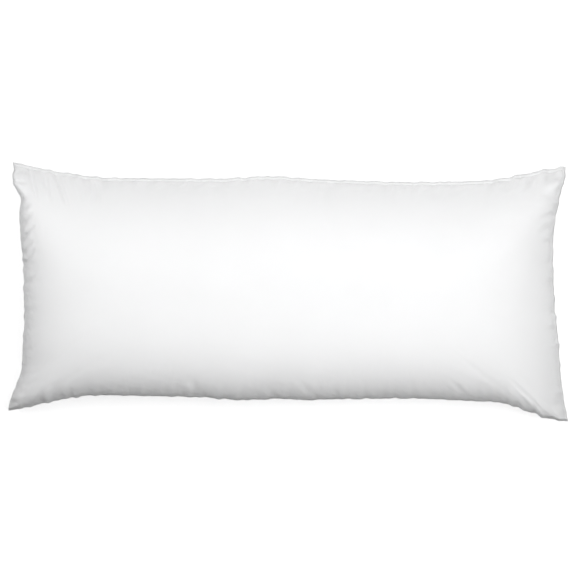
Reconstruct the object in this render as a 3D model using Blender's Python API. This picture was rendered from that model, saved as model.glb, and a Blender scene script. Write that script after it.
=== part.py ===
"""A body pillow: one long cushion, filled and sewn shut all round.

A front and a back panel of white cotton are sewn together along all four
sides and filled, so the pillow is one solid: a front crown, a back crown
and the thin sewn edge where the panels meet.

Units are metres. +X runs along the pillow, +Y across it and +Z out of its
front. It lies on its back on Z = 0, under the middle of its outline, and is
flat where its own weight presses it down.
"""

import math
from collections import namedtuple

import bmesh
import bpy
import numpy as np

MM = 0.001

# Corners of the sewn outline as (x, y), seen from the front.
CORNERS = {
    "near left": (-564 * MM, -245 * MM),
    "near right": (563 * MM, -266 * MM),
    "far left": (-553 * MM, 255 * MM),
    "far right": (558 * MM, 246 * MM),
}

# The filling draws each side in between its corners. A side is "depth" in
# from the straight line once it is "reach" past a corner; a larger "ease"
# leaves the corner more slowly. "inward" turns the side's direction into the
# pillow: +1 for a quarter turn to the left, -1 to the right.
Side = namedtuple("Side", "start end inward depth start_reach start_ease end_reach end_ease")
SIDES = {
    "near": Side("near left", "near right", +1, 36 * MM, 200 * MM, 1.25, 160 * MM, 2.2),
    "far": Side("far left", "far right", -1, 31 * MM, 220 * MM, 1.0, 200 * MM, 1.5),
    "left": Side("near left", "far left", -1, 28 * MM, 100 * MM, 1.8, 260 * MM, 1.0),
    "right": Side("near right", "far right", +1, 28 * MM, 260 * MM, 0.8, 120 * MM, 1.5),
}

# The sewn edge: both panels with their turned-in allowances.
EDGE_WIDTH = 2.5 * MM
EDGE_THICKNESS = 2.6 * MM

# Heights. The crown rises as a power of a quarter circle, over half the
# pillow's width and over END_REACH from its ends. CORNER_FULLNESS says how
# much more filling a corner holds than the two rises multiplied would give.
# The back is as round as the front, but is pressed flat from below. Round
# each corner the seam hangs lower, by its droop there, which fades with the
# distance from the corner over DROOP_REACH.
SEAM_HEIGHT = 88 * MM
DROOPS = {
    "near left": 62 * MM,
    "near right": 48 * MM,
    "far left": 26 * MM,
    "far right": 46 * MM,
}
DROOP_REACH = 75 * MM
FRONT_CROWN = 110 * MM
BACK_CROWN = 106 * MM
END_REACH = 255 * MM
CROWN_POWER = 0.55
CORNER_FULLNESS = 2.5
RESTING_CURVE = 12 * MM     # how softly the back meets the surface

# Folds and unevenness, one row each, placed along a side from its start.
# "pull" draws the outline in, or lets it bulge out where it is negative.
# "depth" is the crease that runs in from the sewn edge for "length", and
# "lean" is how far it wanders along the side for each metre that it runs in.
Fold = namedtuple("Fold", "side at width pull depth length lean")
FOLDS = (
    Fold("far", 46 * MM, 9 * MM, 0.0, 2.2 * MM, 85 * MM, 0.60),
    Fold("far", 72 * MM, 9 * MM, 0.5 * MM, 2.0 * MM, 75 * MM, 0.45),
    Fold("far", 101 * MM, 9 * MM, 0.5 * MM, 2.2 * MM, 80 * MM, 0.35),
    Fold("far", 127 * MM, 9 * MM, -1.5 * MM, 1.6 * MM, 65 * MM, 0.25),
    Fold("far", 155 * MM, 10 * MM, 1.0 * MM, 1.6 * MM, 60 * MM, 0.15),
    Fold("far", 181 * MM, 10 * MM, 0.5 * MM, 1.4 * MM, 55 * MM, 0.10),
    Fold("far", 520 * MM, 70 * MM, -6.0 * MM, 0.0, 60 * MM, 0.0),
    Fold("far", 640 * MM, 16 * MM, 0.5 * MM, 1.4 * MM, 70 * MM, -0.20),
    Fold("far", 790 * MM, 110 * MM, 3.5 * MM, 0.0, 60 * MM, 0.0),
    Fold("far", 964 * MM, 10 * MM, 1.5 * MM, 1.6 * MM, 60 * MM, -0.20),
    Fold("far", 996 * MM, 10 * MM, 1.5 * MM, 2.0 * MM, 65 * MM, -0.35),
    Fold("far", 1036 * MM, 10 * MM, 2.0 * MM, 2.2 * MM, 70 * MM, -0.50),
    Fold("far", 1076 * MM, 9 * MM, 1.5 * MM, 1.6 * MM, 60 * MM, -0.70),
    Fold("near", 397 * MM, 16 * MM, 1.0 * MM, 2.0 * MM, 75 * MM, -0.80),
    Fold("near", 466 * MM, 60 * MM, -4.5 * MM, 0.0, 60 * MM, 0.0),
    Fold("near", 600 * MM, 32 * MM, -2.5 * MM, 0.0, 60 * MM, 0.0),
    Fold("near", 622 * MM, 16 * MM, 0.0, 2.0 * MM, 65 * MM, -0.80),
    Fold("near", 815 * MM, 120 * MM, 5.0 * MM, 0.0, 60 * MM, 0.0),
    Fold("near", 920 * MM, 14 * MM, 0.5 * MM, 2.0 * MM, 65 * MM, -0.70),
    Fold("near", 982 * MM, 10 * MM, 1.5 * MM, 2.0 * MM, 65 * MM, -0.30),
    Fold("near", 1018 * MM, 10 * MM, 1.5 * MM, 2.2 * MM, 75 * MM, -0.45),
    Fold("near", 1060 * MM, 10 * MM, 1.5 * MM, 2.2 * MM, 80 * MM, -0.60),
    Fold("near", 1092 * MM, 8 * MM, 1.0 * MM, 1.6 * MM, 60 * MM, -0.80),
    Fold("left", 184 * MM, 40 * MM, 3.0 * MM, 0.0, 60 * MM, 0.0),
    Fold("left", 287 * MM, 12 * MM, 0.5 * MM, 1.4 * MM, 55 * MM, 0.10),
    Fold("left", 345 * MM, 40 * MM, -2.5 * MM, 1.2 * MM, 55 * MM, 0.20),
    Fold("left", 426 * MM, 17 * MM, 6.5 * MM, 5.0 * MM, 90 * MM, 0.45),
    Fold("left", 459 * MM, 15 * MM, -6.5 * MM, 0.0, 60 * MM, 0.0),
    Fold("left", 481 * MM, 12 * MM, -3.0 * MM, 0.0, 60 * MM, 0.0),
    Fold("right", 160 * MM, 52 * MM, -3.5 * MM, 0.0, 60 * MM, 0.0),
    Fold("right", 318 * MM, 55 * MM, 2.0 * MM, 0.0, 60 * MM, 0.0),
    Fold("right", 452 * MM, 14 * MM, 1.5 * MM, 4.4 * MM, 85 * MM, 0.45),
)
CORNER_CLEAR = 15 * MM      # folds fade out this close to a corner

# Panel grid: cells along and across, and how much they crowd to the edges.
CELLS_ALONG = 80
CELLS_ACROSS = 32
CROWDING = 0.58
SPAN_ALONG = 1110 * MM
SPAN_ACROSS = 500 * MM

COTTON_WHITE = (0.90, 0.90, 0.89, 1.0)
COTTON_ROUGHNESS = 0.85
SHARP_ANGLE = math.radians(50)


def stations(cells, span):
    """Return fractions from 0 to 1 with one sewn edge's width at each end.

    Between the edges the steps are a mix of even and cosine spacing, which
    crowds them towards both ends.
    """
    even = np.linspace(0.0, 1.0, cells - 1)
    eased = (1.0 - np.cos(math.pi * even)) / 2.0
    inner = (1.0 - CROWDING) * even + CROWDING * eased
    edge = EDGE_WIDTH / span
    return np.concatenate([[0.0], edge + (1.0 - 2.0 * edge) * inner, [1.0]])


def bell(distance, width):
    """Return a soft bump: 1 in its middle, fading out past its width."""
    return np.exp(-((distance / width) ** 2))


def corner_ease(distance, reach, ease):
    """Return 0 at a corner, rising to 1 once the reach is passed."""
    return np.sin(0.5 * math.pi * np.clip(distance / reach, 0.0, 1.0)) ** ease


def side_outline(name, fractions):
    """Return the side's outline points, one row for each fraction along it."""
    side = SIDES[name]
    start = np.array(CORNERS[side.start])
    run = np.array(CORNERS[side.end]) - start
    length = np.hypot(*run)
    inward = side.inward * np.array([-run[1], run[0]]) / length

    along = fractions * length
    drawn_in = (
        side.depth
        * corner_ease(along, side.start_reach, side.start_ease)
        * corner_ease(length - along, side.end_reach, side.end_ease)
    )
    clear = np.clip(np.minimum(along, length - along) / CORNER_CLEAR, 0.0, 1.0)
    for fold in FOLDS:
        if fold.side == name:
            drawn_in = drawn_in + fold.pull * clear * bell(along - fold.at, fold.width)
    return start + fractions[:, None] * run + drawn_in[:, None] * inward


def plan(along, across):
    """Return the panel's plan: the surface that the four sides span."""
    near = side_outline("near", along)[:, None]
    far = side_outline("far", along)[:, None]
    left = side_outline("left", across)[None, :]
    right = side_outline("right", across)[None, :]
    u = along[:, None, None]
    v = across[None, :, None]
    ruled = (1.0 - v) * near + v * far + (1.0 - u) * left + u * right
    twice = (1.0 - u) * ((1.0 - v) * near[0] + v * far[0]) + u * ((1.0 - v) * near[-1] + v * far[-1])
    points = ruled - twice
    flat = points.reshape(-1, 2)
    return points - (flat.min(axis=0) + flat.max(axis=0)) / 2.0


def rise(inward, reach):
    """Return how far a panel has risen, from 0 at the sewn edge to 1."""
    share = np.clip((inward - EDGE_WIDTH) / (reach - EDGE_WIDTH), 0.0, 1.0)
    return (1.0 - (1.0 - share) ** 2) ** CROWN_POWER


def crown(rise_across, rise_along):
    """Return the two rises joined into one crown, 0 all round and 1 in the middle."""
    crowned = np.zeros_like(rise_across)
    inner = (rise_across > 0.0) & (rise_along > 0.0)
    power = -CORNER_FULLNESS
    joined = rise_across[inner] ** power + rise_along[inner] ** power - 1.0
    crowned[inner] = joined ** (1.0 / power)
    return crowned


def pressed(drop, room):
    """Return how far the back hangs down where it has only this much room.

    It hangs freely until it comes near the surface, lies flat on it once it
    is well past it, and turns from one to the other in a soft curve.
    """
    past = np.clip(drop - (room - RESTING_CURVE), 0.0, 2.0 * RESTING_CURVE)
    hanging = drop - past ** 2 / (4.0 * RESTING_CURVE)
    return np.where(drop < room + RESTING_CURVE, hanging, room)


def crease_depth(side, along, inward):
    """Return the depth of one side's creases at each point of a panel."""
    depth = np.zeros_like(inward)
    for fold in FOLDS:
        if fold.side != side or not fold.depth:
            continue
        run_in = np.clip((inward - EDGE_WIDTH) / fold.length, 0.0, 1.0)
        middle = fold.at + fold.lean * inward
        depth += fold.depth * np.sin(math.pi * run_in ** 0.6) * bell(along - middle, fold.width)
    return depth


def panel_heights(points, along, across):
    """Return the heights of the front and of the back panel on the plan."""
    x, y = points[..., 0], points[..., 1]
    inward = {"near": y - y[:, :1], "far": y[:, -1:] - y, "left": x - x[:1], "right": x[-1:] - x}
    half_width = (y[:, -1:] - y[:, :1]) / 2.0
    swell = crown(
        rise(np.minimum(inward["near"], inward["far"]), half_width),
        rise(np.minimum(inward["left"], inward["right"]), END_REACH),
    )
    creases = np.zeros_like(swell)
    for side in SIDES:
        fractions = along[:, None] if side in ("near", "far") else across[None, :]
        length = math.dist(CORNERS[SIDES[side].start], CORNERS[SIDES[side].end])
        creases += crease_depth(side, fractions * length, inward[side])

    seam = np.full_like(swell, SEAM_HEIGHT)
    for name, droop in DROOPS.items():
        corner = points[0 if "left" in name else -1, 0 if "near" in name else -1]
        distance = np.linalg.norm(points - corner, axis=-1)
        seam -= droop * np.exp(-distance / DROOP_REACH)
    top = seam + EDGE_THICKNESS / 2.0
    bottom = seam - EDGE_THICKNESS / 2.0
    front = top + np.maximum(FRONT_CROWN * swell - creases, 0.0)
    back = bottom - pressed(np.maximum(BACK_CROWN * swell - creases, 0.0), bottom)
    return front, back


def add_panel(mesh, points, heights, face_up):
    """Add one panel to the mesh as a grid of four-sided faces."""
    grid = [
        [mesh.verts.new((x, y, z)) for (x, y), z in zip(row, row_heights)]
        for row, row_heights in zip(points, heights)
    ]
    for this_row, next_row in zip(grid, grid[1:]):
        for j in range(len(this_row) - 1):
            corners = [this_row[j], next_row[j], next_row[j + 1], this_row[j + 1]]
            mesh.faces.new(corners if face_up else corners[::-1])


def cotton():
    """Return the white cotton that the panels are cut from."""
    material = bpy.data.materials.new("white cotton")
    material.use_nodes = True
    shader = material.node_tree.nodes["Principled BSDF"]
    shader.inputs["Base Color"].default_value = COTTON_WHITE
    shader.inputs["Roughness"].default_value = COTTON_ROUGHNESS
    shader.inputs["Metallic"].default_value = 0.0
    return material


def make_pillow():
    """Sew the two panels together into the filled pillow."""
    along = stations(CELLS_ALONG, SPAN_ALONG)
    across = stations(CELLS_ACROSS, SPAN_ACROSS)
    points = plan(along, across)
    front, back = panel_heights(points, along, across)

    shape = bmesh.new()
    add_panel(shape, points, front, face_up=True)
    add_panel(shape, points, back, face_up=False)
    rims = [edge for edge in shape.edges if edge.is_boundary]
    bmesh.ops.bridge_loops(shape, edges=rims)
    bmesh.ops.recalc_face_normals(shape, faces=shape.faces)

    mesh = bpy.data.meshes.new("pillow")
    shape.to_mesh(mesh)
    shape.free()
    mesh.shade_smooth()
    mesh.set_sharp_from_angle(angle=SHARP_ANGLE)
    mesh.materials.append(cotton())
    pillow = bpy.data.objects.new("pillow", mesh)
    bpy.context.scene.collection.objects.link(pillow)
    return pillow


for leftover in list(bpy.data.objects):
    bpy.data.objects.remove(leftover)
make_pillow()
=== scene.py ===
"""A white body pillow that lies on its back on a pale studio floor.

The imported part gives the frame, and its pillow solid is hidden behind a
filled cushion with the same sewn outline. Two panels share a seam, a cloth
simulation fills them, and the sewn edge, the creases that start at it and
its stitches are worked out on the filled panels. Units are metres; +X runs
along the pillow, +Y across it and +Z out of its front.
"""

import functools
import logging
import math
from dataclasses import dataclass, field
from enum import Enum

import bpy
import numpy as np
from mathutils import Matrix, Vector


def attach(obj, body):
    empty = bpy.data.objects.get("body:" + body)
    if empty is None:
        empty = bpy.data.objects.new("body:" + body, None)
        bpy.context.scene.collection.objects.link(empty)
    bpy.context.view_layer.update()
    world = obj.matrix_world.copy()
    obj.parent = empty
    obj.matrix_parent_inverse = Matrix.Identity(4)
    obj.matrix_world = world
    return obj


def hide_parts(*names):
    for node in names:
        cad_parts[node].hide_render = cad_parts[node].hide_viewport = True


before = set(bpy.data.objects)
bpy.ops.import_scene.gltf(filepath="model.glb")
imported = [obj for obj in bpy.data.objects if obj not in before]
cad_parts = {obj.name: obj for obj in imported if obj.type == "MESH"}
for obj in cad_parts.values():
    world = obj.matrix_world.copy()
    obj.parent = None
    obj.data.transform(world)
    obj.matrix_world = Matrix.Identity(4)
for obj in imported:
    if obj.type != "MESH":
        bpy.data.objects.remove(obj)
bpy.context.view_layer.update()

MM = 0.001
BODY = "root"
NODE = "pillow"

# Each panel is cut from flat cloth of this length and width. The cloth map
# holds the front panel from 0 across and the back panel from BACK_START, in
# units of MAP_SPAN so that both stay within one square.
CUT_LENGTH = 1170 * MM
CUT_WIDTH = 532 * MM
CLOTH_MAP = "cloth"
MAP_SPAN = 1.25
BACK_START = 0.5

WHITE = (1.0, 1.0, 1.0, 1.0)
TINY = 1e-12

# A node's input is fed by another node's socket or by a plain value.
Colour = tuple[float, float, float]
Feed = bpy.types.NodeSocket | float | tuple[float, ...]

log = logging.getLogger("body_pillow")


class Side(Enum):
    """The four sides of the sewn outline, as seen from the front."""

    NEAR = "near"
    FAR = "far"
    LEFT = "left"
    RIGHT = "right"


@dataclass(frozen=True)
class Bow:
    """How one side of the outline is drawn in between its two corners.

    The side is ``depth`` in from the straight line once it is ``reach`` past
    a corner, and a larger ``ease`` leaves that corner more slowly. ``inward``
    turns the side's direction into the pillow: +1 for a quarter turn to the
    left, -1 to the right.
    """

    start: tuple[float, float]
    end: tuple[float, float]
    inward: int
    depth: float
    start_reach: float
    start_ease: float
    end_reach: float
    end_ease: float


@dataclass(frozen=True)
class Fold:
    """One fold or unevenness of a side, placed by its distance from the start.

    ``pull`` draws the outline in, or lets it bulge out where it is negative.
    ``depth`` is the crease that runs in from the seam for ``length``, and
    ``lean`` is how far it wanders along the side for each metre it runs in.
    """

    side: Side
    at: float
    width: float
    pull: float = 0.0
    depth: float = 0.0
    length: float = 60 * MM
    lean: float = 0.0


# Each side's folds: their place, width, pull, depth and length in
# millimetres, and then their lean. A short row leaves the rest out.
FOLD_ROWS: dict[Side, tuple[tuple[float, ...], ...]] = {
    Side.FAR: (
        (34, 5, 0.0, 3.8, 75, 0.13),
        (62, 5, 0.5, 3.0, 75, 0.10),
        (86, 5, 0.5, 3.8, 85, 0.25),
        (127, 7, -1.5, 1.2, 70, 0.10),
        (148, 5, 1.0, 2.6, 75, 0.05),
        (168, 5, 0.5, 3.0, 70, 0.0),
        (300, 9, 0.3, 1.0, 50, 0.10),
        (418, 8, 0.3, 1.2, 50, -0.10),
        (520, 70, -6.0),
        (640, 8, 0.5, 1.4, 60, -0.10),
        (664, 8, 0.3, 1.0, 55, 0.10),
        (790, 110, 3.5),
        (960, 9, 1.2, 1.2, 40, -0.20),
        (996, 9, 1.5, 1.2, 40, -0.35),
        (1042, 9, 2.0, 1.8, 40, -0.40),
        (1082, 8, 1.5, 1.2, 35, -0.50),
    ),
    Side.NEAR: (
        (397, 10, 1.0, 1.0, 50, -0.80),
        (466, 60, -4.5),
        (541, 6, 1.0, 1.5, 30, -0.60),
        (600, 32, -2.5),
        (622, 9, 0.0, 1.2, 50, -0.80),
        (815, 120, 5.0),
        (931, 7, 0.5, 1.8, 50, -0.85),
        (982, 9, 1.5, 0.6, 28, -0.40),
        (1024, 8, 1.5, 1.3, 30, -0.60),
        (1058, 7, 1.5, 1.8, 34, -0.90),
        (1093, 7, 1.0, 1.4, 65, -1.30),
    ),
    Side.LEFT: (
        (117, 7, 0.3, 1.6, 34, 0.30),
        (184, 40, 3.0),
        (251, 6, 1.0, 3.0, 36, 0.90),
        (291, 5, 1.6, 4.4, 35, 1.10),
        (315, 6, 0.8, 3.0, 32, 1.00),
        (341, 5, 1.6, 4.6, 36, 1.00),
        (372, 6, 0.8, 3.2, 36, 0.90),
        (345, 40, -2.5),
        (402, 5, 0.5, 2.4, 30, 0.60),
        (426, 17, 6.5, 1.2, 40, 0.30),
        (459, 15, -6.5),
        (462, 4, 1.2, 2.4, 30, 0.0),
        (476, 6, -1.5, -1.2, 40, 0.0),
    ),
    Side.RIGHT: (
        (160, 52, -3.5),
        (318, 55, 2.0),
        (360, 5, 0.3, 2.4, 36, 0.0),
        (388, 8, 0.0, 2.4, 40, -0.20),
        (416, 6, 0.3, 2.2, 36, -0.20),
        (452, 13, 1.5, 3.5, 50, 0.20),
    ),
}


def bell(distance: np.ndarray, width: float) -> np.ndarray:
    """Return exp(-(distance / width)^2), a soft bump that is 1 in its middle."""
    return np.exp(-((distance / width) ** 2))


def corner_ease(distance: np.ndarray, reach: float, ease: float) -> np.ndarray:
    """Return sin(pi/2 * distance / reach)^ease, held at 1 past the reach."""
    return np.sin(0.5 * math.pi * np.clip(distance / reach, 0.0, 1.0)) ** ease


def resampled(values: np.ndarray, places: np.ndarray) -> np.ndarray:
    """Read evenly spaced rows of values at other places, along the first axis.

    Each place is read from its four nearest rows a, b, c, d by the
    Catmull-Rom cubic b + f/2 * (c-a + f*(2a-5b+4c-d + f*(3b-3c+d-a))), where
    f runs from 0 at b to 1 at c. Past an end the rows go on in a straight line.

    Args:
        values: rows spaced evenly from place 0 to place 1.
        places: where to read them, from 0 to 1.

    Returns:
        One row for each place.
    """
    padded = np.concatenate([2 * values[:1] - values[1:2], values, 2 * values[-1:] - values[-2:-1]])
    cells = len(values) - 1
    cell = np.clip((places * cells).astype(int), 0, cells - 1)
    f = (places * cells - cell).reshape(-1, *[1] * (values.ndim - 1))
    a, b, c, d = (padded[cell + step] for step in range(4))
    return b + 0.5 * f * (c - a + f * (2 * a - 5 * b + 4 * c - d + f * (3 * b - 3 * c + d - a)))


def unit(vectors: np.ndarray) -> np.ndarray:
    """Return the vectors at length 1."""
    return vectors / np.maximum(np.linalg.norm(vectors, axis=-1, keepdims=True), TINY)


def grid_normals(points: np.ndarray) -> np.ndarray:
    """Return the normals of a grid: the cross products of its two directions."""
    return unit(np.cross(np.gradient(points, axis=0), np.gradient(points, axis=1)))


def grid_quads(index: np.ndarray, face_up: bool) -> np.ndarray:
    """Return the four-sided faces between the rows and columns of a grid.

    Args:
        index: the point number of each place.
        face_up: whether they face up where rows follow x and columns y.

    Returns:
        Four point numbers for each face.
    """
    quads = np.stack([index[:-1, :-1], index[1:, :-1], index[1:, 1:], index[:-1, 1:]], axis=-1)
    quads = quads.reshape(-1, 4)
    return quads if face_up else quads[:, ::-1]


@dataclass(frozen=True)
class SewnPanels:
    """Two grids of points as one closed surface that shares their outer rows."""

    front: np.ndarray
    back: np.ndarray

    @property
    def inside(self) -> np.ndarray:
        """Return which places aren't on the seam, where all is True but the outer rows."""
        return np.pad(np.ones(np.subtract(self.front.shape[:2], 2), dtype=bool), 1)

    @property
    def front_index(self) -> np.ndarray:
        """Return the point number of each place on the front."""
        rows, columns = self.front.shape[:2]
        return np.arange(rows * columns).reshape(rows, columns)

    @property
    def back_index(self) -> np.ndarray:
        """Return the point number of each place on the back.

        Returns:
            The front's numbers on the seam, and inside it those that follow.
        """
        index = self.front_index
        index[self.inside] = index.size + np.arange(self.inside.sum())
        return index

    @property
    def points(self) -> np.ndarray:
        """Return all points, the front's before the back's."""
        return np.concatenate([self.front.reshape(-1, 3), self.back[self.inside]])

    @property
    def faces(self) -> np.ndarray:
        """Return all four-sided faces, turned outwards."""
        return np.concatenate([grid_quads(self.front_index, True), grid_quads(self.back_index, False)])


def new_object(name: str, points: np.ndarray, faces: np.ndarray) -> bpy.types.Object:
    """Make a smooth mesh object at the origin and link it to the scene.

    Args:
        name: the piece's name.
        points: vertex positions, one row each.
        faces: vertex numbers, one row for each face.

    Returns:
        The new object.
    """
    mesh = bpy.data.meshes.new(name)
    mesh.from_pydata(points.tolist(), [], faces.tolist())
    mesh.shade_smooth()
    mesh.update()
    piece = bpy.data.objects.new(name, mesh)
    bpy.context.scene.collection.objects.link(piece)
    return piece


def new_sheet(name: str, half: float, height: float) -> bpy.types.Object:
    """Make a flat square sheet of this half width and height above the origin."""
    corners = [(x * half, y * half, height) for x, y in ((-1, -1), (1, -1), (1, 1), (-1, 1))]
    return new_object(name, np.array(corners), np.array([(0, 1, 2, 3)]))


@dataclass(frozen=True)
class SewnOutline:
    """The outline of the two panels where they are sewn together."""

    bows: dict[Side, Bow] = field(default_factory=lambda: {
        Side.NEAR: Bow((-564 * MM, -245 * MM), (563 * MM, -266 * MM), +1,
                       36 * MM, 200 * MM, 1.25, 160 * MM, 2.2),
        Side.FAR: Bow((-553 * MM, 255 * MM), (558 * MM, 246 * MM), -1,
                      31 * MM, 220 * MM, 1.0, 200 * MM, 1.5),
        Side.LEFT: Bow((-564 * MM, -245 * MM), (-553 * MM, 255 * MM), -1,
                       28 * MM, 100 * MM, 1.8, 260 * MM, 1.0),
        Side.RIGHT: Bow((563 * MM, -266 * MM), (558 * MM, 246 * MM), +1,
                        28 * MM, 260 * MM, 0.8, 150 * MM, 1.5),
    })
    folds: tuple[Fold, ...] = tuple(
        Fold(side, *(value * MM for value in row[:5]), *row[5:])
        for side, rows in FOLD_ROWS.items() for row in rows
    )
    corner_clear: float = 15 * MM
    seam_height: float = 88 * MM
    left_droops: tuple[float, float] = (62 * MM, 26 * MM)
    right_droops: tuple[float, float] = (48 * MM, 46 * MM)
    droop_reach: float = 75 * MM
    wave_pitches: tuple[float, ...] = (19 * MM, 31 * MM, 47 * MM)
    wave_gain: float = 1.7
    swell_pitch: float = 310 * MM
    swell_middle: float = 0.675
    swell_range: float = 0.325
    wave_height: float = 2.2 * MM
    scallop: float = 1.3 * MM
    wide_bulge: float = 30 * MM
    uneven_reach: float = 26 * MM
    seed: int = 11

    def length(self, side: Side) -> float:
        """Return the straight distance between a side's two corners."""
        return math.dist(self.bows[side].start, self.bows[side].end)

    def clear_of_corners(self, along: np.ndarray, length: float) -> np.ndarray:
        """Return 1 along a side, fading to 0 at its corners."""
        return np.clip(np.minimum(along, length - along) / self.corner_clear, 0.0, 1.0)

    def wave(self, side: Side, along: np.ndarray, draw: int) -> np.ndarray:
        """Return the uneven wave that gathers a seam.

        It is the mean of a sine for each pitch, each with a phase of its
        own, times the gain and a slow swell between 0.35 and 1.

        Args:
            side: the side that it runs along.
            along: distances along the side.
            draw: 0 for the up-and-down wave, 1 for the in-and-out one.

        Returns:
            The wave, from about -1 to 1.
        """
        random = np.random.default_rng([self.seed, list(Side).index(side), draw])
        phases = random.uniform(0.0, 2.0 * math.pi, len(self.wave_pitches) + 1)
        turns = 2.0 * math.pi * along[..., None] / np.array(self.wave_pitches) + phases[:-1]
        slow = np.sin(2.0 * math.pi * along / self.swell_pitch + phases[-1])
        swell = self.swell_middle + self.swell_range * slow
        clear = self.clear_of_corners(along, self.length(side))
        return clear * swell * np.sin(turns).mean(axis=-1) * self.wave_gain

    def inward(self, side: Side) -> np.ndarray:
        """Return the direction from a side into the pillow, at length 1."""
        run = np.subtract(self.bows[side].end, self.bows[side].start)
        return self.bows[side].inward * np.array([-run[1], run[0]]) / self.length(side)

    def side_points(self, side: Side, fractions: np.ndarray) -> np.ndarray:
        """Return a side's plan: its straight line, drawn in by its bow and wide bulges.

        Args:
            side: which side.
            fractions: places along it, from 0 to 1.

        Returns:
            One (x, y) row for each place.
        """
        bow = self.bows[side]
        start = np.array(bow.start)
        run = np.array(bow.end) - start
        length = self.length(side)
        along = fractions * length
        drawn_in = (
            bow.depth
            * corner_ease(along, bow.start_reach, bow.start_ease)
            * corner_ease(length - along, bow.end_reach, bow.end_ease)
        )
        drawn_in = drawn_in + self.pulls(side, along, wide=True)
        return start + fractions[:, None] * run + drawn_in[:, None] * self.inward(side)

    def pulls(self, side: Side, along: np.ndarray, wide: bool) -> np.ndarray:
        """Return how far a side's wide bulges, or its narrow folds, draw it in.

        Args:
            side: which side.
            along: distances along it.
            wide: whether to return the wide bulges or the narrow folds.

        Returns:
            Distances into the pillow.
        """
        drawn_in = np.zeros_like(along)
        for fold in self.folds:
            if fold.side is side and (fold.width >= self.wide_bulge) == wide:
                drawn_in += fold.pull * bell(along - fold.at, fold.width)
        return drawn_in * self.clear_of_corners(along, self.length(side))


@dataclass(frozen=True)
class Plan:
    """The outline's plan, at places u along the pillow and v across it.

    Both run from 0 to 1: u from the left to the right, v from the near side
    to the far one.
    """

    outline: SewnOutline
    u: np.ndarray
    v: np.ndarray

    @functools.cached_property
    def distances(self) -> dict[Side, tuple[np.ndarray, np.ndarray]]:
        """Return how far each point is along each side and in from it.

        Returns:
            Two arrays for each side, which spread out to the grid.
        """
        length, width = self.outline.length(Side.NEAR), self.outline.length(Side.LEFT)
        a, b = self.u[:, None], self.v[None, :]
        return {
            Side.NEAR: (a * length, b * width),
            Side.FAR: (a * self.outline.length(Side.FAR), (1.0 - b) * width),
            Side.LEFT: (b * width, a * length),
            Side.RIGHT: (b * self.outline.length(Side.RIGHT), (1.0 - a) * length),
        }

    def smooth(self) -> np.ndarray:
        """Return the smooth plan that the four sides span.

        It is the Coons patch: the two ruled surfaces between opposite sides,
        less the surface that their corners span.

        Returns:
            A grid of (x, y) points, centred in its own box as the part is.
        """
        bows = self.outline.bows
        near, far, left, right = (
            self.outline.side_points(side, places)
            for side, places in zip(Side, (self.u, self.u, self.v, self.v))
        )
        corners = np.array([[bows[Side.NEAR].start, bows[Side.FAR].start],
                            [bows[Side.NEAR].end, bows[Side.FAR].end]])
        a, b = self.u[:, None, None], self.v[None, :, None]
        ruled = (1 - b) * near[:, None] + b * far[:, None] + (1 - a) * left[None] + a * right[None]
        twice = (
            (1 - a) * ((1 - b) * corners[0, 0] + b * corners[0, 1])
            + a * ((1 - b) * corners[1, 0] + b * corners[1, 1])
        )
        flat = corners.reshape(-1, 2)
        return ruled - twice - (flat.min(axis=0) + flat.max(axis=0)) / 2.0

    def unevenness(self) -> np.ndarray:
        """Return how the narrow folds and scallops of the sides move the plan.

        A side is drawn in by both, and they fade inwards over their reach.

        Returns:
            A grid of (x, y) movements.
        """
        outline = self.outline
        moved = np.zeros((len(self.u), len(self.v), 2))
        for side, (along, inward) in self.distances.items():
            scallops = outline.scallop * outline.wave(side, along, draw=1)
            drawn_in = outline.pulls(side, along, wide=False) + scallops
            moved += (drawn_in * bell(inward, outline.uneven_reach))[..., None] * outline.inward(side)
        return moved

    def seam_heights(self) -> np.ndarray:
        """Return the height of the seam, carried in over the whole plan.

        Round each corner the seam droops by droop * exp(-distance / reach),
        and its wave fades inwards over a reach of its own.

        Returns:
            A grid of heights.
        """
        outline = self.outline
        heights = np.full((len(self.u), len(self.v)), outline.seam_height)
        for end, droops in ((Side.LEFT, outline.left_droops), (Side.RIGHT, outline.right_droops)):
            for edge, droop in zip((Side.NEAR, Side.FAR), droops):
                corner = np.hypot(self.distances[end][1], self.distances[edge][1])
                heights -= droop * np.exp(-corner / outline.droop_reach)
        for side, (along, inward) in self.distances.items():
            wave = outline.wave_height * outline.wave(side, along, draw=0)
            heights += wave * bell(inward, outline.uneven_reach)
        return heights


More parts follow.
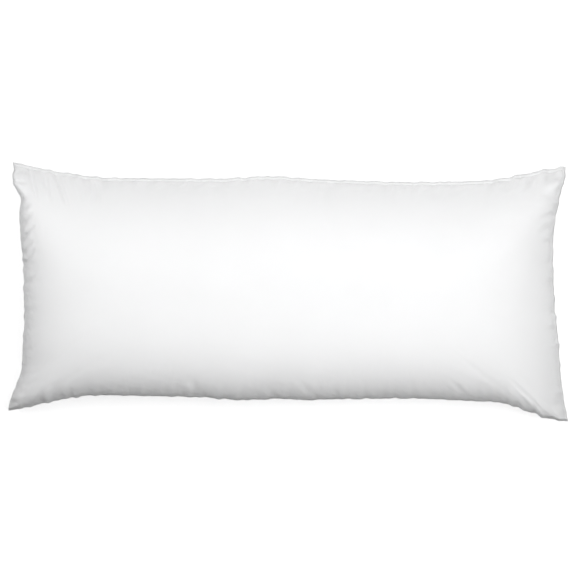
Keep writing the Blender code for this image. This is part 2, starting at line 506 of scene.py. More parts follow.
@dataclass
class Filling:
    """The cloth simulation that fills the two panels."""

    cell: float = 5 * MM
    frames: int = 22
    pressure: float = 4.0
    stiffness: float = 30.0
    shear: float = 8.0
    bending: float = 0.05
    vertex_mass: float = 0.3
    air_damping: float = 5.0
    steps_a_frame: int = 6
    settled_share: float = 0.2
    most_movement: float = 20 * MM
    cloth_gap: float = 1 * MM
    surface_half: float = 1.0

    def cells(self) -> tuple[int, int]:
        """Return how many cells of cloth lie along and across a panel."""
        return tuple(2 * round(length / self.cell / 2) for length in (CUT_LENGTH, CUT_WIDTH))

    def fill(self, front: np.ndarray, back: np.ndarray) -> tuple[np.ndarray, np.ndarray]:
        """Fill the panels and let them settle.

        The seam is held where it is. Every other point is cloth that
        remembers the flat panel it was cut from, so the cloth that is too
        long for the seam gathers into folds beside it. The panels then take
        a share of that movement, so the folds stay as soft as padding is.

        Args:
            front: the front panel's grid of points, with the seam round it.
            back: the back panel's grid, on the same seam.

        Returns:
            The two grids after filling.
        """
        panels = SewnPanels(front, back)
        points = panels.points
        u, v = np.meshgrid(*(np.linspace(-0.5, 0.5, count) for count in front.shape[:2]), indexing="ij")
        flat = np.stack([u * CUT_LENGTH, v * CUT_WIDTH, np.zeros_like(u)], axis=-1)

        bag = new_object("bag", points, panels.faces)
        bag.shape_key_add(name="start")
        cut_key = bag.shape_key_add(name="cut")
        cut_key.data.foreach_set("co", SewnPanels(flat, flat).points.astype(np.float32).ravel())
        cut_key.value = 0.0
        seam = bag.vertex_groups.new(name="seam")
        seam.add(panels.front_index[~panels.inside].tolist(), 1.0, "REPLACE")
        surface = self._surface()
        cloth = self._cloth(bag, seam, cut_key)
        settled = self._run(bag, cloth, len(points))

        moved = self.settled_share * (settled - points)
        far = np.linalg.norm(moved, axis=1, keepdims=True)
        settled = points + moved * np.minimum(1.0, self.most_movement / np.maximum(far, TINY))
        for helper in (bag, surface):
            mesh = helper.data
            bpy.data.objects.remove(helper)
            bpy.data.meshes.remove(mesh)
        return settled[panels.front_index], settled[panels.back_index]

    def _surface(self) -> bpy.types.Object:
        """Build the surface that the cloth comes to rest on.

        Returns:
            A flat sheet that stops cloth.
        """
        surface = new_sheet("resting_surface", self.surface_half, 0.0)
        surface.modifiers.new("stops cloth", "COLLISION")
        surface.collision.thickness_outer = self.cloth_gap
        return surface

    def _cloth(self, bag: bpy.types.Object, seam: bpy.types.VertexGroup,
               cut_key: bpy.types.ShapeKey) -> bpy.types.ClothModifier:
        """Make the panels close cotton that is blown up.

        Args:
            bag: the two panels.
            seam: the points that are held where they are.
            cut_key: the flat shape that the cloth remembers.

        Returns:
            The cloth modifier.
        """
        cloth = bag.modifiers.new("filling", "CLOTH")
        settings = cloth.settings
        settings.quality = self.steps_a_frame
        settings.mass = self.vertex_mass
        settings.air_damping = self.air_damping
        settings.tension_stiffness = self.stiffness
        settings.compression_stiffness = self.stiffness
        settings.shear_stiffness = self.shear
        settings.bending_stiffness = self.bending
        settings.use_pressure = True
        settings.uniform_pressure_force = self.pressure
        settings.effector_weights.gravity = 0.0
        settings.vertex_group_mass = seam.name
        settings.pin_stiffness = 1.0
        settings.rest_shape_key = cut_key
        cloth.collision_settings.distance_min = self.cloth_gap
        cloth.collision_settings.use_self_collision = False
        cloth.point_cache.frame_start = 1
        cloth.point_cache.frame_end = self.frames
        return cloth

    def _run(self, bag: bpy.types.Object, cloth: bpy.types.ClothModifier, count: int) -> np.ndarray:
        """Step the simulation through its frames.

        Args:
            bag: the two panels.
            cloth: their cloth modifier, which is taken off again.
            count: how many points they have.

        Returns:
            Where the points end up.
        """
        scene = bpy.context.scene
        for step in range(1, self.frames + 1):
            scene.frame_set(step)
        filled = bag.evaluated_get(bpy.context.evaluated_depsgraph_get())
        settled = np.empty(count * 3, dtype=np.float32)
        filled.data.vertices.foreach_get("co", settled)
        bag.modifiers.remove(cloth)
        scene.frame_set(1)
        return settled.reshape(-1, 3).astype(float)


@dataclass(frozen=True)
class Rise:
    """How a panel rises in from a side, as (1 - (1 - s)^flatness)^power.

    Here s is the distance in from the side as a share of its reach. A larger
    ``power`` leaves the seam more gently, and a larger ``flatness`` keeps the
    middle of the panel flatter.
    """

    power: float = 0.55
    flatness: float = 2.0

    def at(self, share: np.ndarray) -> np.ndarray:
        """Return the rise, from 0 at the side to 1."""
        return (1.0 - (1.0 - share) ** self.flatness) ** self.power


@dataclass
class FilledPillow:
    """The pillow: two filled panels that meet in a stitched knife edge."""

    outline: SewnOutline = field(default_factory=SewnOutline)
    filling: Filling = field(default_factory=Filling)
    front_crown: float = 111 * MM
    back_crown: float = 106 * MM
    resting_curve: float = 12 * MM
    end_reach: float = 255 * MM
    front_rises: dict[Side, Rise] = field(default_factory=lambda: {
        Side.NEAR: Rise(0.36, 3.6), Side.FAR: Rise(0.85, 2.0),
        Side.LEFT: Rise(0.42, 3.5), Side.RIGHT: Rise(0.58, 2.5),
    })
    back_rises: dict[Side, Rise] = field(default_factory=lambda: dict.fromkeys(Side, Rise()))
    corner_fullness: float = 4.5
    cells_along: int = 256
    cells_across: int = 118
    crowding: float = 0.42
    edge_rows: tuple[float, ...] = (
        0.0, 0.15 * MM, 0.6 * MM, 1.3 * MM, 2.6 * MM, 4.2 * MM, 5.4 * MM,
        6.0 * MM, 6.5 * MM, 7.0 * MM, 7.6 * MM, 8.8 * MM,
    )
    panel_start: float = 10.8 * MM
    rim_radius: float = 1.3 * MM
    rim_fade: float = 18 * MM
    stitch_line: float = 6.5 * MM
    groove_depth: float = 0.9 * MM
    groove_width: float = 1.1 * MM
    allowance_swell: float = 0.5 * MM
    flat_height: float = 12 * MM
    trough_width: float = 0.8
    ridge_place: float = 1.6
    ridge_height: float = 0.4
    crease_onset: float = 0.8
    front: np.ndarray = field(init=False)
    back: np.ndarray = field(init=False)

    def crown(self, points: np.ndarray, side_rises: dict[Side, Rise]) -> np.ndarray:
        """Return how far a panel has risen, from 0 at the seam to 1.

        Each way it rises from the nearer side, over half the pillow's width
        across it and over the end reach along it. The two rises a and b are
        joined as (a^-k + b^-k - 1)^(-1/k), where k is the corner fullness.

        Args:
            points: the smooth plan's grid of (x, y) points.
            side_rises: how the panel rises in from each side.

        Returns:
            A grid from 0 to 1.
        """
        x, y = points[..., 0], points[..., 1]
        rises = []
        for start, end, reach, sides in (
            (y - y[:, :1], y[:, -1:] - y, (y[:, -1:] - y[:, :1]) / 2.0, (Side.NEAR, Side.FAR)),
            (x - x[:1], x[-1:] - x, self.end_reach, (Side.LEFT, Side.RIGHT)),
        ):
            share = np.clip(np.minimum(start, end) / reach, 0.0, 1.0)
            first, last = (side_rises[side].at(share) for side in sides)
            rises.append(np.where(start < end, first, last))
        k = self.corner_fullness
        safe = [np.maximum(rise, TINY) for rise in rises]
        joined = (safe[0] ** -k + safe[1] ** -k - 1.0) ** (-1.0 / k)
        return np.where(np.minimum(*rises) > 0.0, joined, 0.0)

    def pressed(self, drop: np.ndarray, room: np.ndarray) -> np.ndarray:
        """Return how far the back hangs down where it has only this much room.

        It hangs freely until it is within the resting curve of the floor, is
        flat on it once it would be that far past it, and between the two its
        drop is less by past^2 / (4 * curve), where past is how far into that
        stretch it is.

        Args:
            drop: how far each point would hang below the seam.
            room: how far the floor is below the seam there.

        Returns:
            A grid of drops, none more than its room.
        """
        past = np.clip(drop - (room - self.resting_curve), 0.0, 2.0 * self.resting_curve)
        hanging = drop - past ** 2 / (4.0 * self.resting_curve)
        return np.where(drop < room + self.resting_curve, hanging, room)

    def start_panels(self, plan: Plan) -> tuple[np.ndarray, np.ndarray]:
        """Return the front and back panel as they are before they settle.

        Args:
            plan: where their rows and columns lie.

        Returns:
            Two grids of points that share the seam.
        """
        smooth = plan.smooth()
        places = smooth + plan.unevenness()
        seam = plan.seam_heights()
        front = seam + self.front_crown * self.crown(smooth, self.front_rises)
        hanging = self.back_crown * self.crown(smooth, self.back_rises)
        back = seam - self.pressed(hanging, seam - 2 * self.filling.cloth_gap)
        return tuple(np.concatenate([places, height[..., None]], axis=-1) for height in (front, back))

    def filled_panels(self) -> tuple[np.ndarray, np.ndarray]:
        """Returns:
            The front's and the back's grid of points.
        """
        u, v = (np.linspace(0.0, 1.0, count + 1) for count in self.filling.cells())
        front, back = self.start_panels(Plan(self.outline, u, v))
        return self.filling.fill(front, back)

    def stations(self, length: float, cells: int) -> np.ndarray:
        """Return the places of the fine rows across a side of this length.

        The rows beside the rim have set distances. Those between are a mix of
        even steps and steps of (1 - cos(pi * t)) / 2, which crowd both ends.

        Args:
            length: the distance from rim to rim.
            cells: how many cells lie between the two stitched edges.

        Returns:
            Places from 0 to 1.
        """
        even = np.linspace(0.0, 1.0, cells + 1)
        eased = (1.0 - np.cos(math.pi * even)) / 2.0
        inner = (1.0 - self.crowding) * even + self.crowding * eased
        edge = np.array(self.edge_rows) / length
        start = self.panel_start / length
        return np.concatenate([edge, start + (1.0 - 2.0 * start) * inner, 1.0 - edge[::-1]])

    def creases(self, distances: dict[Side, tuple[np.ndarray, np.ndarray]]) -> np.ndarray:
        """Return the depth of every crease at each point of a panel.

        A crease's section is a narrow trough between two low ridges. Along
        its length it deepens and then fades, as sin(pi * s^onset), where s is
        the share of its length.

        Args:
            distances: for each side, the distances along it and in from it.

        Returns:
            A grid of depths, positive into the pillow.
        """
        along, inward = distances[Side.NEAR]
        depth = np.zeros(np.broadcast_shapes(along.shape, inward.shape))
        for fold in self.outline.folds:
            if fold.depth == 0.0:
                continue
            along, inward = distances[fold.side]
            run_in = np.clip(inward / fold.length, 0.0, 1.0)
            offset = along - fold.at - fold.lean * inward
            aside = self.ridge_place * fold.width
            ridges = bell(offset - aside, fold.width) + bell(offset + aside, fold.width)
            section = bell(offset, self.trough_width * fold.width) - self.ridge_height * ridges
            depth += fold.depth * np.sin(math.pi * run_in ** self.crease_onset) * section
        return depth

    def stitched_edge(self, nearest: np.ndarray) -> np.ndarray:
        """Return the depth of the stitched groove, less the swell of the allowance.

        The swell lies halfway between the rim and the stitch line.

        Args:
            nearest: distances from the rim.

        Returns:
            Depths, positive into the pillow and 0 at the rim.
        """
        groove = self.groove_depth * bell(nearest - self.stitch_line, self.groove_width)
        halfway = self.stitch_line / 2.0
        swell = self.allowance_swell * bell(nearest - halfway, halfway / 2.0)
        return (groove - swell) * np.clip(nearest / self.rim_radius, 0.0, 1.0)

    def finished_panels(self) -> tuple[np.ndarray, np.ndarray, np.ndarray, np.ndarray]:
        """Return the fine grids of both panels with their creases and edge.

        Returns:
            The front points, the back points, and the places along and across
            of their rows and columns.
        """
        length, width = self.outline.length(Side.NEAR), self.outline.length(Side.LEFT)
        u = self.stations(length, self.cells_along)
        v = self.stations(width, self.cells_across)
        distances = Plan(self.outline, u, v).distances
        nearest = functools.reduce(np.minimum, (inward for _, inward in distances.values()))
        round_share = 1.0 - np.clip(nearest / self.rim_radius, 0.0, 1.0)
        rim = self.rim_radius * np.sqrt(1.0 - round_share ** 2) * np.exp(-nearest / self.rim_fade)
        depth = self.creases(distances) + self.stitched_edge(nearest)

        panels = []
        for panel, up in zip(self.filled_panels(), (1.0, -1.0)):
            points = resampled(resampled(panel, u).swapaxes(0, 1), v).swapaxes(0, 1)
            free = np.clip(points[..., 2] / self.flat_height, 0.0, 1.0)
            points = points - (free * depth)[..., None] * up * grid_normals(points)
            points[..., 2] += up * rim
            panels.append(points)
        front, back = panels
        lowest = back[..., 2].min()
        front[..., 2] -= lowest
        back[..., 2] -= lowest
        return front, back, u, v

    def build(self) -> bpy.types.Object:
        """Build the closed pillow with its cloth map.

        Returns:
            The finished piece, at the origin.
        """
        self.front, self.back, u, v = self.finished_panels()
        panels = SewnPanels(self.front, self.back)
        piece = new_object("filled_pillow", panels.points, panels.faces)

        along = u * CUT_LENGTH / MAP_SPAN
        across = v * CUT_WIDTH / MAP_SPAN
        maps = []
        for start, face_up in ((0.0, True), (BACK_START, False)):
            places = np.stack(np.broadcast_arrays(along[:, None], start + across[None, :]), axis=-1)
            corners = grid_quads(panels.front_index, face_up)
            maps.append(places.reshape(-1, 2)[corners].reshape(-1, 2))
        cloth_map = piece.data.uv_layers.new(name=CLOTH_MAP)
        cloth_map.uv.foreach_set("vector", np.concatenate(maps).astype(np.float32).ravel())
        return piece


@dataclass
class SeamThread:
    """The line of stitches beside the rim, on both faces."""

    pillow: FilledPillow
    pitch: float = 3.2 * MM
    stitch: float = 2.5 * MM
    radius: float = 0.28 * MM
    proud: float = 0.1 * MM
    sunk: float = 0.6
    around: int = 6
    rings: tuple[float, ...] = (-0.5, -0.38, -0.15, 0.15, 0.38, 0.5)
    swell: tuple[float, ...] = (0.35, 0.85, 1.0, 1.0, 0.85, 0.35)

    def lines(self) -> list[tuple[np.ndarray, np.ndarray]]:
        """Find the stitch line along each side of each panel.

        Returns:
            For each of the eight its points and its normals.
        """
        row = self.pillow.edge_rows.index(self.pillow.stitch_line)
        lines = []
        for grid, up in ((self.pillow.front, 1.0), (self.pillow.back, -1.0)):
            normals = up * grid_normals(grid)
            for part in (np.s_[row:-row, row], np.s_[row:-row, -1 - row],
                         np.s_[row, row:-row], np.s_[-1 - row, row:-row]):
                lines.append((grid[part], normals[part]))
        return lines

    def stitch_shape(self) -> tuple[np.ndarray, np.ndarray]:
        """Return one stitch: a short rod of rings, thinner and lower at both ends.

        A ring of swell w is w * radius in radius, and (1 - w) * sunk * radius
        lower than the stitch's middle. Two four-sided faces close each end.

        Returns:
            Its points as (along, aside, up), and its four-sided faces.
        """
        turn = np.arange(self.around) * 2.0 * math.pi / self.around
        rings = np.array(self.rings)
        swell = np.array(self.swell)
        circle = np.stack([np.cos(turn), np.sin(turn)], axis=-1) * self.radius
        points = np.empty((len(rings), self.around, 3))
        points[..., 0] = rings[:, None] * self.stitch
        points[..., 1:] = swell[:, None, None] * circle
        points[..., 2] -= ((1.0 - swell) * self.sunk * self.radius)[:, None]
        index = np.arange(len(rings) * self.around).reshape(len(rings), self.around)
        wrapped = np.concatenate([index, index[:, :1]], axis=1)
        sides = grid_quads(wrapped, False)
        caps = [
            [ring[0], *ring[k:k + 3]][::order]
            for ring, order in ((index[0].tolist(), -1), (index[-1].tolist(), 1))
            for k in range(1, self.around - 2, 2)
        ]
        return points.reshape(-1, 3), np.concatenate([sides, np.array(caps)])

    def build(self) -> bpy.types.Object:
        """Build all the stitches as one joined mesh.

        Each is the one shape, carried to its place on the stitch line by the
        directions along it, out of the panel and across both.

        Returns:
            The finished piece, at the origin.
        """
        shape, faces = self.stitch_shape()
        half = self.stitch / 2.0
        all_points = []
        for line, normals in self.lines():
            reach = np.concatenate([[0.0], np.cumsum(np.linalg.norm(np.diff(line, axis=0), axis=1))])
            count = int(reach[-1] / self.pitch) - 1
            middle = (np.arange(count) + 0.5) * reach[-1] / count
            start, end, outward = (
                np.stack([np.interp(places, reach, values[:, axis]) for axis in range(3)], axis=-1)
                for places, values in (
                    (middle - half, line), (middle + half, line), (middle, normals)
                )
            )
            along = unit(end - start)
            aside = unit(np.cross(outward, along))
            outward = np.cross(along, aside)
            centre = (start + end) / 2.0 + self.proud * outward
            frames = np.stack([along, aside, outward], axis=1)
            all_points.append(centre[:, None, :] + shape[None] @ frames)
        points = np.concatenate(all_points).reshape(-1, 3)
        stitches = len(points) // len(shape)
        every = faces[None] + len(shape) * np.arange(stitches)[:, None, None]
        return new_object("seam_stitches", points, every.reshape(-1, 4))


@dataclass(frozen=True)
class Noise:
    """The settings of a noise: waves for each metre, octaves, warp and kind."""

    scale: float
    detail: float
    warp: float = 0.0
    kind: str = "FBM"


class Wiring:
    """A shader node tree, with short ways to add nodes to it and join them."""

    def __init__(self, tree: bpy.types.NodeTree) -> None:
        """Wire this tree."""
        self.tree = tree

    def feed(self, node: bpy.types.Node, inputs: dict[str | int, Feed]) -> None:
        """Join each of these inputs of a node to a socket, or set it to a plain value.

        Args:
            node: the node.
            inputs: for each input, by name or number, what goes into it.
        """
        for label, value in inputs.items():
            if isinstance(value, bpy.types.NodeSocket):
                self.tree.links.new(value, node.inputs[label])
            else:
                node.inputs[label].default_value = value

    def node(self, kind: str, inputs: dict[str | int, Feed], **settings: object) -> bpy.types.Node:
        """Add a node.

        Args:
            kind: its type.
            inputs: for each input, by name or number, what goes into it.
            settings: its properties.

        Returns:
            The node.
        """
        node = self.tree.nodes.new(kind)
        for name, value in settings.items():
            setattr(node, name, value)
        self.feed(node, inputs)
        return node

    def math(self, operation: str, *terms: Feed, clamped: bool = False) -> bpy.types.NodeSocket:
        """Add a math node and return its result."""
        inputs = dict(enumerate(terms))
        return self.node("ShaderNodeMath", inputs, operation=operation, use_clamp=clamped).outputs[0]

    def noise(self, place: bpy.types.NodeSocket, noise: Noise) -> bpy.types.NodeSocket:
        """Add a noise that is read at a place and return its value, from 0 to 1."""
        inputs = {"Vector": place, "Scale": noise.scale, "Detail": noise.detail, "Distortion": noise.warp}
        return self.node("ShaderNodeTexNoise", inputs, noise_type=noise.kind).outputs[0]

    def mix(self, factor: bpy.types.NodeSocket, colour: Colour, shade: Colour) -> bpy.types.NodeSocket:
        """Add a mix from the colour, where the factor is 0, to the shade and return it."""
        inputs = {"Factor": factor, "A": (*colour, 1.0), "B": (*shade, 1.0)}
        return self.node("ShaderNodeMix", inputs, data_type="RGBA").outputs["Result"]

    def bumps(self, *layers: tuple[bpy.types.NodeSocket, float]) -> bpy.types.NodeSocket:
        """Add bumps, each on the one before.

        Args:
            layers: for each bump its height from 0 to 1 and how high 1 is.

        Returns:
            The socket of the last one's normal.
        """
        below = {}
        for height, distance in layers:
            bump = self.node("ShaderNodeBump", {"Height": height, "Distance": distance, **below})
            below = {"Normal": bump.outputs[0]}
        return below["Normal"]

    def camera_rays(self) -> bpy.types.NodeSocket:
        """Return a socket that is 1 for rays from the camera and 0 for others."""
        return self.node("ShaderNodeLightPath", {}).outputs["Is Camera Ray"]


class ClothGroup(Wiring):
    """A node group that reads places on the flat cloth, in metres."""

    def __init__(self, name: str, values: dict[str, float], results: tuple[str, ...]) -> None:
        """Make the group and its sockets.

        Args:
            name: the group's name.
            values: the numbers that it takes, with their defaults.
            results: the names of the heights and masks that it gives.
        """
        super().__init__(bpy.data.node_groups.new(name, "ShaderNodeTree"))
        sockets = [("Cloth", "INPUT", "NodeSocketVector")]
        sockets += [(label, "INPUT", "NodeSocketFloat") for label in values]
        sockets += [(label, "OUTPUT", "NodeSocketFloat") for label in results]
        for label, way, kind in sockets:
            socket = self.tree.interface.new_socket(name=label, in_out=way, socket_type=kind)
            if label in values:
                socket.default_value = values[label]
        self.inputs = self.tree.nodes.new("NodeGroupInput").outputs
        self.output = self.tree.nodes.new("NodeGroupOutput")

    def places(self) -> tuple[bpy.types.NodeSocket, bpy.types.NodeSocket]:
        """Return the distances along and across the flat cloth."""
        split = self.node("ShaderNodeSeparateXYZ", {"Vector": self.inputs["Cloth"]})
        return split.outputs["X"], split.outputs["Y"]


@functools.cache
def weave_group() -> bpy.types.NodeTree:
    """Build the plain weave: threads that pass over and under in turn.

    With x and y in threads, the threads of one set stand |sin(pi x)| high and
    those of the other |sin(pi y)|. Where sin(pi x) * sin(pi y) changes sign
    the other set comes to the top, which makes the weave's small squares.
    Threads are a little uneven: each is pushed aside by a long, slow noise.

    Returns:
        The group of the threads' height and the gaps between them: a mask of painted shade, largest where
        the threads are lowest.
    """
    drift, crossing, depth = Noise(60.0, 1.0), 4.0, 3.0
    group = ClothGroup("plain weave", {"Thread": 0.4 * MM, "Slub": 0.3}, ("Height", "Gaps"))
    pushed = group.noise(group.inputs["Cloth"], drift)
    waves = []
    for place in group.places():
        threads = group.math("DIVIDE", place, group.inputs["Thread"])
        shifted = group.math("MULTIPLY_ADD", pushed, group.inputs["Slub"], threads)
        waves.append(group.math("SINE", group.math("MULTIPLY", shifted, math.pi)))
    chosen = group.math("MULTIPLY_ADD", group.math("MULTIPLY", *waves), crossing, 0.5, clamped=True)
    first, second = (group.math("ABSOLUTE", wave) for wave in waves)
    height = group.math("MULTIPLY_ADD", group.math("SUBTRACT", first, second), chosen, second)
    # Painted shade: the gaps between the threads are marked darker, as (1 - height)^depth.
    gaps = group.math("POWER", group.math("SUBTRACT", 1.0, height), depth)
    group.feed(group.output, {"Height": height, "Gaps": gaps})
    return group.tree


@functools.cache
def crumple_group() -> bpy.types.NodeTree:
    """Build the fine crumple and soft mottling of washed, filled cloth.

    Height is two noises: small soft dents from the filling below, and faint
    short creases, which are the ridges of a warped noise. Mottle is a slow
    noise that makes the cloth a little lighter or darker.

    Returns:
        The group of the height and the mottle.
    """
    group = ClothGroup("cloth crumple", {"Dents": 1.0, "Creases": 0.5}, ("Height", "Mottle"))
    dents, creases, mottle = (
        group.noise(group.inputs["Cloth"], noise)
        for noise in (Noise(26.0, 2.0), Noise(14.0, 1.5, 0.6, "RIDGED_MULTIFRACTAL"), Noise(9.0, 3.0))
    )
    dent_height = group.math("MULTIPLY", dents, group.inputs["Dents"])
    height = group.math("MULTIPLY_ADD", creases, group.inputs["Creases"], dent_height)
    group.feed(group.output, {"Height": height, "Mottle": mottle})
    return group.tree


@functools.cache
def gather_group() -> bpy.types.NodeTree:
    """Build the short, uneven gathers of cloth beside its seams.

    Beside each pair of sides the height is a noise that is fine along the
    seam and long across it, times exp(-distance in from the seam / reach).
    The gathers lean: they are read further along the seam the further in
    they are. The map holds the front from 0 and the back from its own start.

    Returns:
        The group of the gathers' height.
    """
    gathers, stretch = Noise(52.0, 1.5, 0.3), 0.3
    group = ClothGroup("seam gathers", {"Reach": 16 * MM, "Lean": 0.6}, ("Height",))
    lengthwise, both = group.places()
    across = group.math("FLOORED_MODULO", both, BACK_START * MAP_SPAN)
    outward = group.math("MULTIPLY", group.inputs["Reach"], -1.0)
    heights = []
    for along, place, whole in ((lengthwise, across, CUT_WIDTH), (across, lengthwise, CUT_LENGTH)):
        inward = group.math("MINIMUM", place, group.math("SUBTRACT", whole, place))
        leaning = group.math("MULTIPLY_ADD", inward, group.inputs["Lean"], along)
        spot = group.node("ShaderNodeCombineXYZ", {
            "X": leaning, "Y": group.math("MULTIPLY", inward, stretch), "Z": place,
        })
        fade = group.math("EXPONENT", group.math("DIVIDE", inward, outward))
        heights.append(group.math("MULTIPLY", group.noise(spot.outputs[0], gathers), fade))
    group.feed(group.output, {"Height": group.math("ADD", *heights)})
    return group.tree


class NewMaterial(Wiring):
    """A new material, whose shader is ready to be fed."""

    def __init__(self, name: str) -> None:
        """Make the material.

        Args:
            name: its name.
        """
        self.material = bpy.data.materials.new(name)
        self.material.use_nodes = True
        super().__init__(self.material.node_tree)

    def finished(self, inputs: dict[str, Feed]) -> bpy.types.Material:
        """Feed the shader and return the material."""
        self.feed(self.tree.nodes["Principled BSDF"], inputs)
        return self.material


@dataclass(frozen=True)
class CottonFinish:
    """Close, matt white cotton in a plain weave."""

    name: str = "white cotton"
    colour: Colour = (0.88, 0.882, 0.885)
    # shade is the darker colour. gap_shade is how far the painted shade in the weave's gaps leans to it,
    # and mottle_shade is how far the random mottle does.
    shade: Colour = (0.835, 0.838, 0.842)
    gap_shade: float = 0.35
    mottle_shade: float = 0.5
    roughness: float = 0.88
    roughness_swing: float = 0.1
    specular: float = 0.25
    sheen: float = 0.12
    sheen_roughness: float = 0.5
    thread: float = 0.42 * MM
    slub: float = 0.5
    dents: float = 0.8
    creases: float = 0.35
    weave_height: float = 0.06 * MM
    crumple_height: float = 0.7 * MM
    gather_height: float = 7.0 * MM

    def material(self) -> bpy.types.Material:
        """Make the finish, which reads the piece's cloth map.

        Its bumps lie on each other: the seam gathers, the crumple on them and
        the weave on both. Painted shade darkens the gaps in the weave, and the random mottle darkens the
        cloth too.

        Returns:
            The material.
        """
        made = NewMaterial(self.name)
        cloth_map = made.node("ShaderNodeUVMap", {}, uv_map=CLOTH_MAP).outputs[0]
        metres = made.node("ShaderNodeMapping", {"Vector": cloth_map, "Scale": (MAP_SPAN,) * 3})
        weave, crumple, gathers = (
            made.node("ShaderNodeGroup", {"Cloth": metres.outputs[0], **values}, node_tree=tree).outputs
            for tree, values in (
                (weave_group(), {"Thread": self.thread, "Slub": self.slub}),
                (crumple_group(), {"Dents": self.dents, "Creases": self.creases}),
                (gather_group(), {}),
            )
        )
        # Painted shade in the weave's gaps, with the random mottle added to it to give the tone.
        darker = made.math("MULTIPLY", weave["Gaps"], self.gap_shade)
        tone = made.math("MULTIPLY_ADD", crumple["Mottle"], self.mottle_shade, darker, clamped=True)
        smoothest = self.roughness - self.roughness_swing / 2.0
        return made.finished({
            "Base Color": made.mix(tone, self.colour, self.shade),
            "Roughness": made.math("MULTIPLY_ADD", crumple["Mottle"], self.roughness_swing, smoothest),
            "Specular IOR Level": self.specular,
            "Sheen Weight": self.sheen,
            "Sheen Roughness": self.sheen_roughness,
            "Normal": made.bumps(
                (gathers["Height"], self.gather_height),
                (crumple["Height"], self.crumple_height),
                (weave["Height"], self.weave_height),
            ),
        })


@dataclass(frozen=True)
class ThreadFinish:
    """White sewing thread with its twist."""

    name: str = "sewing thread"
    colour: Colour = (0.86, 0.86, 0.86)
    shade: Colour = (0.72, 0.72, 0.73)
    roughness: float = 0.6
    sheen: float = 0.2
    twist: float = 0.35 * MM
    bands_a_twist: float = 0.3
    unevenness: float = 1.0
    strand_height: float = 0.05 * MM

    def material(self) -> bpy.types.Material:
        """Make the finish: fine slanted bands where the strands wind round.

        Returns:
            The material.
        """
        made = NewMaterial(self.name)
        strands = made.node("ShaderNodeTexWave", {
            "Vector": made.node("ShaderNodeTexCoord", {}).outputs["Object"],
            "Scale": self.bands_a_twist / self.twist,
            "Distortion": self.unevenness,
        }, bands_direction="DIAGONAL").outputs["Fac"]
        return made.finished({
            "Base Color": made.mix(strands, self.colour, self.shade),
            "Roughness": self.roughness,
            "Sheen Weight": self.sheen,
            "Normal": made.bumps((strands, self.strand_height)),
        })


@dataclass(frozen=True)
class FloorFinish:
    """The studio floor's matt white paper, lit so that it stays white."""

    name: str = "studio paper"
    colour: Colour = (0.76, 0.76, 0.76)
    shade: Colour = (0.74, 0.74, 0.74)
    roughness: float = 0.9
    grain: Noise = Noise(40.0, 4.0)
    glow: float = 0.6

    def material(self) -> bpy.types.Material:
        """Make the finish: paper with a faint grain and a glow of its own.

        Only rays from the camera see the glow, so it whitens the paper and
        throws no light back on the pillow.

        Returns:
            The material.
        """
        made = NewMaterial(self.name)
        grain = made.noise(made.node("ShaderNodeTexCoord", {}).outputs["Object"], self.grain)
        return made.finished({
            "Base Color": made.mix(grain, self.colour, self.shade),
            "Roughness": self.roughness,
            "Emission Color": WHITE,
            "Emission Strength": made.math("MULTIPLY", made.camera_rays(), self.glow),
        })


@dataclass(frozen=True)
class Lamp:
    """A square soft light that looks at the pillow from its place."""

    name: str
    place: tuple[float, float, float]
    power: float
    size: float

    def build(self) -> bpy.types.Object:
        """Build the lamp in its place.

        Returns:
            The lamp.
        """
        light = bpy.data.lights.new(self.name, "AREA")
        light.shape = "SQUARE"
        light.size = self.size
        light.energy = self.power
        lamp = bpy.data.objects.new(self.name, light)
        lamp.location = self.place
        lamp.rotation_euler = Vector(self.place).to_track_quat("Z", "Y").to_euler()
        bpy.context.scene.collection.objects.link(lamp)
        return lamp


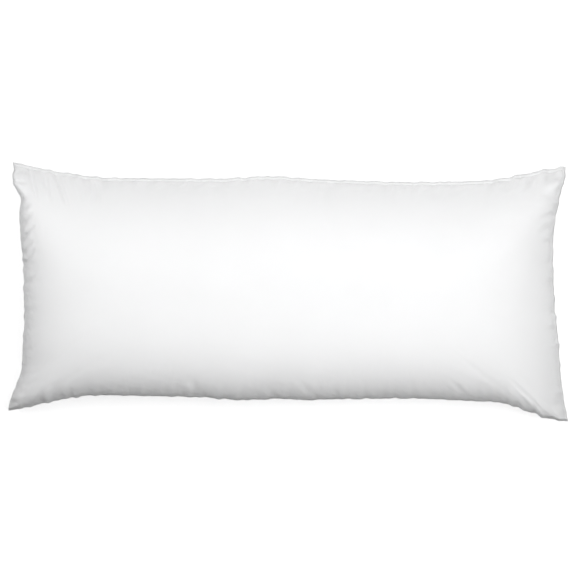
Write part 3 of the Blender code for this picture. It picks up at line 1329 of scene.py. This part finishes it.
@dataclass
class Studio:
    """The floor, the lights and the camera."""

    picture_width: float = 1.152
    camera_height: float = 9.0
    sensor: float = 36.0
    picture_centre: tuple[float, float] = (-0.5 * MM, 7.5 * MM)
    seam_height: float = SewnOutline.seam_height
    floor_size: float = 14.0
    floor_drop: float = 0.3 * MM
    lamps: tuple[Lamp, ...] = (
        Lamp("key", (0.3, 0.1, 1.8), 17.9, 1.2),
        Lamp("near fill", (0.3, -0.3, 1.8), 6.7, 1.2),
        Lamp("left fill", (-1.3, 0.5, 1.2), 13.6, 1.5),
        Lamp("far fill", (0.9, 1.5, 1.2), 9.4, 1.5),
        Lamp("right fill", (1.5, 0.0, 0.8), 4.2, 1.2),
    )
    ambient: float = 0.005
    backdrop: float = 0.75

    def build_floor(self) -> bpy.types.Object:
        """Build the floor as a wide flat sheet, just below the pillow.

        Returns:
            The floor.
        """
        floor = new_sheet("studio_floor", self.floor_size / 2.0, -self.floor_drop)
        floor.data.materials.append(FloorFinish().material())
        return floor

    def build_world(self) -> None:
        """Build the room: pale to the camera, and only a faint light on the pillow."""
        world = bpy.data.worlds.new("studio")
        world.use_nodes = True
        wiring = Wiring(world.node_tree)
        strength = wiring.math("MULTIPLY_ADD", wiring.camera_rays(), self.backdrop, self.ambient)
        wiring.feed(wiring.tree.nodes["Background"], {"Color": WHITE, "Strength": strength})
        bpy.context.scene.world = world

    def build_camera(self) -> bpy.types.Object:
        """Build the camera: face on, with the photograph's framing.

        The lens makes the picture as wide as stated at the seam's height.

        Returns:
            The camera.
        """
        camera = bpy.data.cameras.new("camera")
        camera.sensor_width = self.sensor
        camera.lens = self.sensor * (self.camera_height - self.seam_height) / self.picture_width
        viewer = bpy.data.objects.new("camera", camera)
        viewer.location = (*self.picture_centre, self.camera_height)
        bpy.context.scene.collection.objects.link(viewer)
        bpy.context.scene.camera = viewer
        return viewer

    def build(self) -> None:
        """Build the whole studio."""
        self.build_floor()
        for lamp in self.lamps:
            lamp.build()
        self.build_world()
        self.build_camera()
        bpy.context.scene.view_settings.view_transform = "Standard"


def report(piece: bpy.types.Object) -> None:
    """Log a finished piece's name and number of faces."""
    log.info("%s: %d faces", piece.name, len(piece.data.polygons))


def main() -> None:
    """Build the pillow, its stitches and the studio, in that order."""
    logging.basicConfig(level=logging.INFO, format="%(name)s: %(message)s")
    pillow = FilledPillow()
    cushion = pillow.build()
    cushion.data.materials.append(CottonFinish().material())
    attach(cushion, BODY)
    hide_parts(NODE)
    report(cushion)

    stitches = SeamThread(pillow).build()
    stitches.data.materials.append(ThreadFinish().material())
    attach(stitches, BODY)
    report(stitches)

    Studio().build()


if __name__ == "__main__":
    main()
